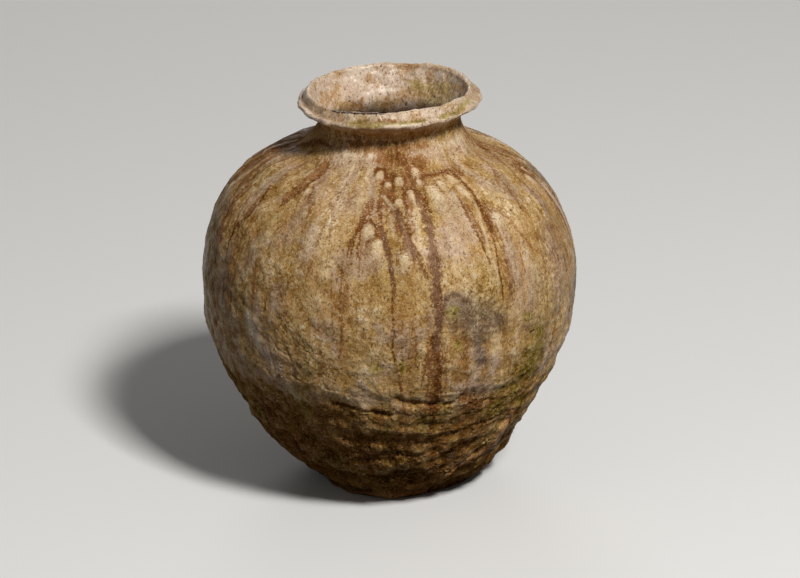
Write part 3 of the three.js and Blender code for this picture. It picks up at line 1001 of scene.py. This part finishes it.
cover("brown", distances(BROWN_RUNS, falls=BROWN_FALLS))
cover("thin", distances(THIN_RUNS, falls=THIN_FALLS))
cover("core", distances(RUN_CORES))
cover("pale", distances(PALE_STREAKS_AND_LIP_HIGHLIGHT))
cover("grey", distances(GREY_RUNS, falls=GREY_FALLS))
dark_away = distances(DARK_LINES)
# The painted shadow along the inner edge of the lip goes into the dark marks
edge_shadow_place = section.lip_middle + MOUTH_EDGE_SHADOW_SETBACK
edge_shadow_spots = [(edge_shadow_place, photograph.spot(pixel)[1]) for pixel in MOUTH_EDGE_SHADOW]
stroke(dark_away, edge_shadow_spots, *MOUTH_EDGE_SHADOW_WIDTHS)
cover("dark", dark_away)
crease_away = distances(CREASES) + CREASE_RAGGEDNESS * ragged
for name, (spread, rows_up) in CREASE_PARTS.items():
    looks[name] = np.roll(gauss(crease_away, spread), rows_up, axis=0)
hollow_away = distances(HOLLOWS) + HOLLOW_RAGGEDNESS * ragged + HOLLOW_LUMPINESS * lumps[1]
hollow_depth = np.clip(HOLLOW_MIDDLE_DEPTH + HOLLOW_DEPTH_CHANGE * lumps[1], *HOLLOW_DEPTHS)
looks["shaded_hollow"] = gauss(hollow_away, HOLLOW_SPREAD) * hollow_depth
looks["shaded_wrinkle"] = gauss(distances(WRINKLES) + WRINKLE_RAGGEDNESS * ragged, 1.0)
cover("pink", distances(PINK_PATCHES))
cover("cloud", distances(BROWN_CLOUDS, falls=CLOUD_FALLS))
cover("wet_and_highlight", distances(WET_AND_HIGHLIGHT_PATCHES))
cover("pale_and_highlight", distances(PALE_AND_HIGHLIGHT_PATCHES, falls=LIGHT_FALLS))
for width, tail, pixel in DROPS:
    draw_drop(*photograph.spot(pixel), width, tail)
for _ in range(UNSEEN_DROPS):
    place = section.foot + NECK_ROOT - chance.uniform(*UNSEEN_DROP_DEPTHS)
    width, tail = chance.uniform(*UNSEEN_DROP_WIDTHS), chance.uniform(*UNSEEN_DROP_TAILS)
    draw_drop(place, chance.uniform(*UNSEEN_SIDE), width, tail)
cover("rust", distances(RUST_STROKES, RUST_PATCHES))
cover("scar", distances(SCARS))
cover("ochre", distances(MOUTH_STROKES, OCHRE_PATCHES, OCHRE_STRETCH))
cover("green", distances(GREEN_STROKES, GREEN_PATCHES))
cover("pit", distances(dabs=PITS))
looks["pit_shade"] = np.array(looks["pit"])


def patches(noise, breakup, low, high):
    """Patches where a noise is high, broken up by the middle lumps."""
    return smooth(noise + breakup * lumps[2], low, high)


# Looks that come of others, and of the noise
lavender_tint, orange_tint, olive_tint = tints
lavender = patches(blend(lavender_tint, lumps[1], on_lip), *LAVENDER_PATCHES)
lavender = lavender * (1.0 - LAVENDER_FADE * lower_stage)
orange = patches(blend(orange_tint, -lumps[1], on_lip), *ORANGE_PATCHES)
olive = patches(olive_tint, *OLIVE_PATCHES) * blend(OLIVE_ABOVE_CREASE, 1.0, lower_stage) * off_lip
olive_share, *limits = GRITTY_PATCHES
gritty = smooth(lumps[0] + olive_share * olive_tint, *limits)
grittiness = LEAST_GRIT + PATCH_GRIT * gritty + LOWER_GRIT * lower_half
green_shown = (1.0 - GREEN_FADE_INSIDE * inside - GREEN_FADE_ON_LIP * on_lip) * looks["green"]
ochre_shown = np.maximum(OCHRE_SHOWN * looks["ochre"], ORANGE_SHOWN * orange)
looks |= {
    "whole": 1.0,
    "coarse_lumps": lumps[1],
    "middle_lumps": lumps[2],
    "speckle": speckle,
    "grit": grittiness * mixture(GRIT_SHARES, (lumps[3], lumps[4], speckle)),
    "streaks": off_lip * mixture(STREAK_SHARES, streaks),
    "lower_stage": lower_stage,
    "stage_swells": lower_stage * swells,
    "stage_lumps": lower_stage * lumps[1],
    "low_wall": low_wall,
    "low_rust": low_wall * looks["rust"],
    "low_green": lower_half * looks["green"],
    "foot_band": foot_band,
    "foot_lumps": foot_band * lumps[2],
    "neck": above(ROW_LENGTHS, NECK_START) * outside * off_lip,
    "on_lip": on_lip,
    "lip_lumps": on_lip * (1.0 + lumps[1]),
    "lip_green": on_lip * looks["green"],
    "groove": groove,
    # The groove under the lip is darkened on the left side as painted shade
    "left_groove_shade": groove * facing_left,
    "left": facing_left * off_lip,
    "near_mouth": inside * (1.0 - above(ROW_PLACES, MOUTH_DEPTH)),
    "orange": orange,
    # The orange cloud is made stronger on the left side as painted shade
    "left_side_shade_orange": orange * facing_left,
    "pinks": np.maximum(lavender, looks["pink"]),
    "greens": np.maximum(green_shown, OLIVE_SHOWN * olive + STAGE_GREEN * lower_stage),
    "ochres": ochre_shown * (1.0 - looks["grey"]),
}


def weigh(shares):
    """Looks added up, each in its own share."""
    return sum(share * looks[name] for name, share in shares.items())


relief = weigh(RELIEF_SHARES)
for lump, (height, half, stage, lip) in zip(lumps, LUMP_HEIGHTS):
    relief += (height + half * lower_half + stage * lower_stage + lip * on_lip) * lump


def add_grain(place, azimuth, width, rise):
    """A grain of sand that stands up under the glaze."""
    window, along, across = near_vertices(place, azimuth, GRAIN_REACH * width)
    shape = gauss(np.hypot(along, across), width)
    relief[window] += rise * shape
    looks["grain_tops"][window] = np.maximum(looks["grain_tops"][window], shape)


def add_crater(place, azimuth, width, depth):
    """A burst bubble: a hole with a low rim."""
    window, along, across = near_vertices(place, azimuth, CRATER_REACH * width)
    away = np.hypot(along, across) / width
    hole = gauss(away, CRATER_HOLE)
    rim = CRATER_RIM_HEIGHT * gauss(away - CRATER_RIM_AWAY, CRATER_RIM_SPREAD)
    relief[window] += depth * (rim - hole)
    looks["pit_shade"][window] = np.maximum(looks["pit_shade"][window], depth * hole)


def scatter(add, count, widths, heights):
    """Puts grains or craters on the outside by chance, coarser ones on the lower stage."""
    for _ in range(count):
        place = section.foot + chance.uniform(*SCATTER_SPAN)
        if chance.random() > radius_at(place) / BELLY_RADIUS:
            continue
        coarser = blend(1.0, LOWER_COARSENESS, float(np.interp(place, ROW_PLACES, lower_stage[:, 0])))
        width = chance.uniform(*widths) * coarser
        add(place, chance.uniform(*WHOLE_TURN), width, chance.uniform(*heights) * coarser)


scatter(add_grain, *GRAINS)
scatter(add_crater, *CRATERS)
for spread, widest, pixel in PIT_CLUSTERS:
    place, azimuth = photograph.spot(pixel)
    for _ in range(CLUSTER_PITS):
        up, side = chance.normal(0.0, spread, 2)
        width = chance.uniform(CLUSTER_NARROWEST, widest)
        add_crater(place + up, azimuth + side / radius_at(place), width, chance.uniform(*CLUSTER_DEPTHS))

relief *= np.clip(outer + INSIDE_RELIEF * inside, 0.0, 1.0)
relief -= SKIN_INSET * outer + RIDGES_SMOOTHED * hand_ridges + CREASE_SMOOTHED * hand_crease
lowest = np.array(cad_low) / MILLIMETRE + (BOX_MARGIN, BOX_MARGIN, 0.0)
highest = np.array(cad_high) / MILLIMETRE - BOX_MARGIN
POINTS = np.clip(GRID + GRID_NORMALS * relief[..., None], lowest, highest)
NORMALS = grid_normals(POINTS)
FIELDS = {name: np.clip(weigh(shares), 0.0, 1.0) for name, shares in FIELD_SHARES.items()}


# Meshes

BAKE_MAP = "OFBake"
SECTORS = 4
HIDDEN_SHARE = 0.25
SEAM_LENGTH = 1.0
MAP_MARGIN = 0.01
HIDDEN_DEPTH = 100.0


def map_distances(rows):
    """How far down the map each row of a piece lies: hidden faces get less room."""
    places = ROW_PLACES[rows]
    steps = np.abs(np.diff(places, append=places[-1] + SEAM_LENGTH))
    steps[steps > 2.0 * DEEP_ROW_STEP] = SEAM_LENGTH
    steps[places > section.inside_top + HIDDEN_DEPTH] *= HIDDEN_SHARE
    return np.concatenate([[0.0], np.cumsum(steps)]) / steps.sum()


def bake_map(mesh, rows, quads):
    """Lays the ring out in as many strips as it has sectors, one above the other."""
    down = map_distances(rows)
    i, j = np.divmod(np.arange(quads), COLUMNS)
    per_sector = COLUMNS // SECTORS
    sector = j // per_sector
    u0 = (j % per_sector) / per_sector
    u1 = u0 + 1.0 / per_sector
    u = np.stack([u0, u1, u1, u0], axis=-1)
    v = np.stack([down[i], down[i], down[i + 1], down[i + 1]], axis=-1)
    u = blend(MAP_MARGIN, 1.0 - MAP_MARGIN, u)
    v = (sector[:, None] + blend(MAP_MARGIN, 1.0 - MAP_MARGIN, v)) / SECTORS
    layer = mesh.uv_layers.new(name=BAKE_MAP)
    flat = np.zeros((len(mesh.loops), 2), np.float32)
    flat[: 4 * quads] = np.stack([u, v], axis=-1).reshape(-1, 2)
    layer.data.foreach_set("uv", flat.ravel())


def make_piece(name, rows, material, capped=False):
    """One closed piece: its rows joined into a ring, or into a disc with a centre below and above."""
    count = len(rows)
    index = np.arange(count * COLUMNS).reshape(count, COLUMNS)
    upper = np.roll(index, -1, axis=0)
    if capped:
        index, upper = index[:-1], upper[:-1]
    quads = np.stack([index, np.roll(index, -1, 1), np.roll(upper, -1, 1), upper], axis=-1).reshape(-1, 4)
    points = POINTS[rows].reshape(-1, 3)
    normals = NORMALS[rows].reshape(-1, 3)
    values = {field: np.broadcast_to(grid, GRID.shape[:2])[rows].ravel() for field, grid in FIELDS.items()}
    corners = [quads.ravel()]
    sizes = [np.full(len(quads), 4)]
    if capped:
        ring = np.arange(COLUMNS)
        after = np.roll(ring, -1)
        bottom, top = len(points), len(points) + 1
        last = (count - 1) * COLUMNS
        corners += [np.stack([np.full(COLUMNS, bottom), after, ring], -1).ravel()]
        corners += [np.stack([last + ring, last + after, np.full(COLUMNS, top)], -1).ravel()]
        sizes += [np.full(2 * COLUMNS, 3)]
        centres = np.stack([POINTS[rows[0]].mean(0), POINTS[rows[-1]].mean(0)])
        points = np.vstack([points, centres])
        normals = np.vstack([normals, [(0.0, 0.0, -1.0), (0.0, 0.0, 1.0)]])
        values = {field: np.append(grid, grid[[0, -1]]) for field, grid in values.items()}
    corners = np.concatenate(corners)
    sizes = np.concatenate(sizes)
    mesh = bpy.data.meshes.new(name)
    mesh.vertices.add(len(points))
    mesh.vertices.foreach_set("co", (points * MILLIMETRE).astype(np.float32).ravel())
    mesh.loops.add(len(corners))
    mesh.loops.foreach_set("vertex_index", corners.astype(np.int32))
    mesh.polygons.add(len(sizes))
    mesh.polygons.foreach_set("loop_start", (np.cumsum(sizes) - sizes).astype(np.int32))
    mesh.update(calc_edges=True)
    mesh.polygons.foreach_set("use_smooth", np.ones(len(sizes), bool))
    for field, grid in values.items():
        layer = mesh.attributes.new(field, "FLOAT", "POINT")
        layer.data.foreach_set("value", grid.astype(np.float32))
    bake_map(mesh, rows, len(quads))
    mesh.normals_split_custom_set_from_vertices(normals.astype(np.float32))
    mesh.materials.append(material)
    piece = bpy.data.objects.new(name + "_skin", mesh)
    bpy.context.scene.collection.objects.link(piece)
    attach(piece, BODY)
    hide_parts(name)
    return piece


# Materials


def colour(red, green, blue):
    """A colour given as it looks in a picture, 0 to 255, as the shader wants it."""
    values = [value / 255.0 for value in (red, green, blue)]
    return tuple(((v + 0.055) / 1.055) ** 2.4 if v > 0.04045 else v / 12.92 for v in values) + (1.0,)


def tones(*stops):
    """A scale of colours: the place of each on it, from 0 to 1, with its red, green and blue."""
    return [(at, colour(*parts)) for at, *parts in stops]


GLAZE_TONES = tones(
    (0.0, 50, 24, 3),
    (0.22, 110, 70, 20),
    (0.42, 162, 121, 60),
    (0.60, 198, 162, 106),
    (0.78, 220, 190, 142),
    (1.0, 242, 224, 192),
)
VEIN_TINT = colour(138, 94, 44)

# Nets of veins in the glaze: size of their cells in millimetres, and how strong they are
VEINS = [(16.0, 0.5), (8.0, 0.45)]
VEIN_STRETCH = 1.4
VEIN_WIDTH = 0.045

# Layers over the glaze, from the lowest up: field, how much noise breaks it up, how hard its edge is, tones
LAYERS = [
    ("cream", 0.7, 1.4, tones((0.0, 120, 88, 60), (0.45, 198, 168, 138), (1.0, 240, 222, 204))),
    ("pink", 0.8, 0.9, tones((0.0, 66, 42, 26), (0.45, 154, 120, 90), (1.0, 230, 202, 174))),
    ("ochre", 1.3, 1.2, tones((0.0, 76, 40, 8), (0.5, 168, 120, 60), (1.0, 220, 180, 122))),
    ("grey", 0.9, 0.9, tones((0.0, 42, 33, 27), (0.5, 106, 90, 78), (1.0, 170, 154, 138))),
    ("green", 1.0, 1.0, tones((0.0, 44, 35, 2), (0.5, 130, 109, 33), (1.0, 204, 184, 112))),
    ("rust", 1.2, 1.6, tones((0.0, 80, 40, 12), (0.5, 154, 96, 46), (1.0, 208, 154, 98))),
    ("cloud", 1.8, 2.0, tones((0.0, 54, 24, 3), (0.5, 130, 84, 42), (1.0, 184, 136, 86))),
    ("brown", 2.3, 1.6, tones((0.0, 42, 18, 2), (0.5, 108, 62, 26), (1.0, 162, 112, 66))),
    ("mauve", 1.6, 1.2, tones((0.0, 52, 32, 18), (0.5, 116, 82, 58), (1.0, 168, 132, 102))),
    ("pale", 0.9, 1.3, tones((0.0, 156, 116, 70), (0.5, 214, 184, 140), (1.0, 242, 224, 192))),
    # The dark layer holds a crack, the painted shadow along the lip's inner edge and the shade in pits
    ("dark", 0.5, 2.0, tones((0.0, 34, 20, 10), (1.0, 80, 52, 28))),
]
LAYER_THRESHOLD = 0.35

# Specks under and over the layers: size, detail, roughness and stretch of their noise, the limits between
# which they show, how strong they are, and their tint
SPOTS = (2.8, 3.0, 0.6, 1.0, 0.56, 0.68, 0.5, colour(146, 98, 54))
TICKS = (2.0, 2.0, 0.5, 1.8, 0.60, 0.66, 0.7, colour(92, 62, 34))
# Pale flecks, which also stand as small painted glints
FLECKS_AND_GLINTS = (1.6, 2.0, 0.5, 1.0, 0.62, 0.70, 0.5, colour(232, 212, 178))

# Grain of the glaze: size, detail and roughness of its noises, the last one drawn out downwards
FINE_NOISE = (1.5, 3.0, 0.65)
FINER_NOISE = (0.6, 2.0, 0.6)
BROKEN_NOISE = (1.9, 4.0, 0.65, 1.8)

# What the grain does to tone and roughness, and the strength and height in millimetres of its bumps
FINE_TONE = 0.8
FINER_TONE = 0.5
FINE_ROUGHNESS = 0.5
GLOSS_ROUGHNESS = -0.35
BUMPS = [(0.5, 0.6), (0.6, 0.5), (0.5, 0.2)]

# Finishes: roughness, shift of tone, and how strongly the wettest glaze reflects
FINISHES = {
    "wet_ash_glaze": (0.42, 0.0, 0.45),
    "ash_glaze": (0.46, 0.0, 0.16),
    "bare_clay": (0.75, -0.04, 0.05),
}


class Shader:
    """Short ways to add nodes to a material."""

    def __init__(self, name):
        self.material = bpy.data.materials.new(name)
        self.material.use_nodes = True
        self.tree = self.material.node_tree
        self.surface = self.tree.nodes["Principled BSDF"].inputs
        self.place = self.node("ShaderNodeTexCoord", {})["Object"]

    def put(self, value, socket):
        """Gives a socket its value, which comes from another socket or is plain."""
        if isinstance(value, bpy.types.NodeSocket):
            self.tree.links.new(value, socket)
        else:
            socket.default_value = value

    def node(self, kind, inputs, **settings):
        """Adds a node, and returns its outputs."""
        node = self.tree.nodes.new(kind)
        for name, value in settings.items():
            setattr(node, name, value)
        for name, value in inputs.items():
            self.put(value, node.inputs[name])
        return node.outputs

    def field(self, name):
        return self.node("ShaderNodeAttribute", {}, attribute_name=name)["Fac"]

    def noise(self, size, detail=3.0, roughness=0.6, stretch=1.0):
        """Noise with bumps of about so many millimetres, which may be drawn out downwards."""
        place = self.place
        if stretch != 1.0:
            shrink = (1.0, 1.0, 1.0 / stretch)
            place = self.node("ShaderNodeMapping", {"Vector": place, "Scale": shrink})["Vector"]
        scale = 1.0 / (size * MILLIMETRE)
        inputs = {"Vector": place, "Scale": scale, "Detail": detail, "Roughness": roughness}
        return self.node("ShaderNodeTexNoise", inputs)["Fac"]

    def threshold(self, value, low, high):
        """0 where the value is below low, 1 where it is above high."""
        return self.node("ShaderNodeMapRange", {"Value": value, "From Min": low, "From Max": high})["Result"]

    def math(self, operation, first, second, clamp=False):
        return self.node("ShaderNodeMath", {0: first, 1: second}, operation=operation, use_clamp=clamp)[0]

    def mix(self, share, first, second):
        """Lays the second colour over the first."""
        return self.node("ShaderNodeMix", {"Factor": share, 6: first, 7: second}, data_type="RGBA")[2]

    def bump(self, value, strength, reach, normal):
        """Bends a normal by a height, or the plain one where none is given."""
        inputs = {"Height": value, "Strength": strength, "Distance": reach * MILLIMETRE}
        if normal:
            inputs["Normal"] = normal
        return self.node("ShaderNodeBump", inputs)["Normal"]

    def veins(self, size):
        """A net of thin veins: the places where a noise crosses its middle value."""
        away = self.math("ABSOLUTE", self.math("SUBTRACT", self.noise(size, stretch=VEIN_STRETCH), 0.5), 0.0)
        return self.math("SUBTRACT", 1.0, self.threshold(away, 0.0, VEIN_WIDTH))

    def specks(self, surface, size, detail, roughness, stretch, low, high, share, tint):
        """Lays specks over a surface, where a noise is high."""
        shown = self.threshold(self.noise(size, detail, roughness, stretch), low, high)
        return self.mix(self.math("MULTIPLY", shown, share), surface, tint)

    def spread(self, value, middle, gain, clamp=False):
        """Moves a noise of about 0.5 to a middle value, and widens it."""
        widened = self.math("MULTIPLY", self.math("SUBTRACT", value, 0.5), gain)
        return self.math("ADD", widened, middle, clamp)

    def tones(self, value, stops):
        node = self.tree.nodes.new("ShaderNodeValToRGB")
        elements = node.color_ramp.elements
        while len(elements) < len(stops):
            elements.new(1.0)
        for element, (at, tint) in zip(elements, stops):
            element.position = at
            element.color = tint
        self.put(value, node.inputs["Fac"])
        return node.outputs["Color"]


def fired_clay(name, rough, shift, specular):
    """The skin of the jar: glaze of uneven tone, with its specks and stains laid over it one by one."""
    shader = Shader(name)
    wetness = shader.math("MULTIPLY", shader.field("gloss"), specular)
    shader.put(wetness, shader.surface["Specular IOR Level"])
    fine, finer, broken = (shader.noise(*grains) for grains in (FINE_NOISE, FINER_NOISE, BROKEN_NOISE))
    tone = shader.math("ADD", shader.field("tone"), shader.spread(fine, shift, FINE_TONE))
    tone = shader.math("ADD", tone, shader.spread(finer, 0.0, FINER_TONE))
    surface = shader.tones(tone, GLAZE_TONES)
    for size, share in VEINS:
        surface = shader.mix(shader.math("MULTIPLY", shader.veins(size), share), surface, VEIN_TINT)
    surface = shader.specks(surface, *SPOTS)
    for field, breakup, hardness, stops in LAYERS:
        amount = shader.math("ADD", shader.field(field), shader.spread(broken, -0.5, breakup))
        share = shader.math("ADD", shader.math("MULTIPLY", amount, hardness), 0.5, True)
        share = shader.math("MULTIPLY", share, shader.threshold(shader.field(field), 0.0, LAYER_THRESHOLD))
        surface = shader.mix(share, surface, shader.tones(tone, stops))
    surface = shader.specks(surface, *TICKS)
    surface = shader.specks(surface, *FLECKS_AND_GLINTS)
    shader.put(surface, shader.surface["Base Color"])
    gloss = shader.math("MULTIPLY", shader.field("gloss"), GLOSS_ROUGHNESS)
    shine = shader.math("ADD", gloss, shader.spread(fine, rough, FINE_ROUGHNESS), True)
    shader.put(shine, shader.surface["Roughness"])
    normal = None
    for height, (strength, reach) in zip((broken, fine, finer), BUMPS):
        normal = shader.bump(height, strength, reach, normal)
    shader.put(normal, shader.surface["Normal"])
    return shader.material


materials = {name: fired_clay(name, *finish) for name, finish in FINISHES.items()}
for name, rows in PIECE_ROWS.items():
    slot = "bare_clay" if name in ("base_disc", "lower_coil_1") else "ash_glaze"
    finish = "wet_ash_glaze" if name in ("neck_collar", "rim_lip") else slot
    make_piece(name, rows, materials[finish], capped=name == "base_disc")


# Camera, floor and light

FLOOR_SIZE = 12.0
FLOOR_TINT = colour(238, 236, 232)
FLOOR_BOUNCE = colour(84, 80, 75)
FLOOR_ROUGHNESS = 0.9
WORLD_STRENGTH = 0.08

# Lamps: azimuth and elevation in degrees, distance and size in metres, and power in watts
LAMPS = {
    "key_lamp": (32.0, 49.0, 5.0, 0.8, 234.0),
    "fill_lamp": (-50.0, 30.0, 3.0, 1.6, 2.0),
    "back_lamp": (186.0, 26.0, 5.0, 2.0, 32.0),
}


def add_camera():
    data = bpy.data.cameras.new("camera")
    data.sensor_width = SENSOR_WIDTH
    data.lens = FOCAL_PIXELS * SENSOR_WIDTH / PICTURE_WIDTH
    camera = bpy.data.objects.new("camera", data)
    camera.location = CAMERA_PLACE * MILLIMETRE
    camera.rotation_euler = (math.pi / 2 - CAMERA_ELEVATION, 0.0, 0.0)
    bpy.context.scene.collection.objects.link(camera)
    bpy.context.scene.camera = camera


def add_floor():
    bpy.ops.mesh.primitive_plane_add(size=FLOOR_SIZE)
    floor = bpy.context.active_object
    floor.name = "floor"
    shader = Shader("floor")
    rays = shader.node("ShaderNodeLightPath", {})
    seen = shader.math("MAXIMUM", rays["Is Camera Ray"], rays["Is Glossy Ray"])
    seen = shader.math("MAXIMUM", seen, rays["Is Transmission Ray"])
    shader.put(shader.mix(seen, FLOOR_BOUNCE, FLOOR_TINT), shader.surface["Base Color"])
    shader.put(FLOOR_ROUGHNESS, shader.surface["Roughness"])
    floor.data.materials.append(shader.material)


def add_lamp(name, azimuth, elevation, distance, size, power):
    """A soft square lamp that looks at the middle of the jar."""
    data = bpy.data.lights.new(name, "AREA")
    data.size = size
    data.energy = power
    lamp = bpy.data.objects.new(name, data)
    turn, rise = math.radians(azimuth), math.radians(elevation)
    away = np.array([math.sin(turn) * math.cos(rise), -math.cos(turn) * math.cos(rise), math.sin(rise)])
    lamp.location = away * distance + (0.0, 0.0, CAMERA_TARGET_HEIGHT * MILLIMETRE)
    lamp.rotation_euler = (math.pi / 2 - rise, 0.0, turn)
    bpy.context.scene.collection.objects.link(lamp)


def add_world():
    world = bpy.data.worlds.new("studio")
    bpy.context.scene.world = world
    world.use_nodes = True
    background = world.node_tree.nodes["Background"]
    background.inputs["Color"].default_value = (1.0, 1.0, 1.0, 1.0)
    background.inputs["Strength"].default_value = WORLD_STRENGTH


add_camera()
add_floor()
for name, lamp in LAMPS.items():
    add_lamp(name, *lamp)
add_world()
bpy.context.scene.view_settings.view_transform = "Standard"
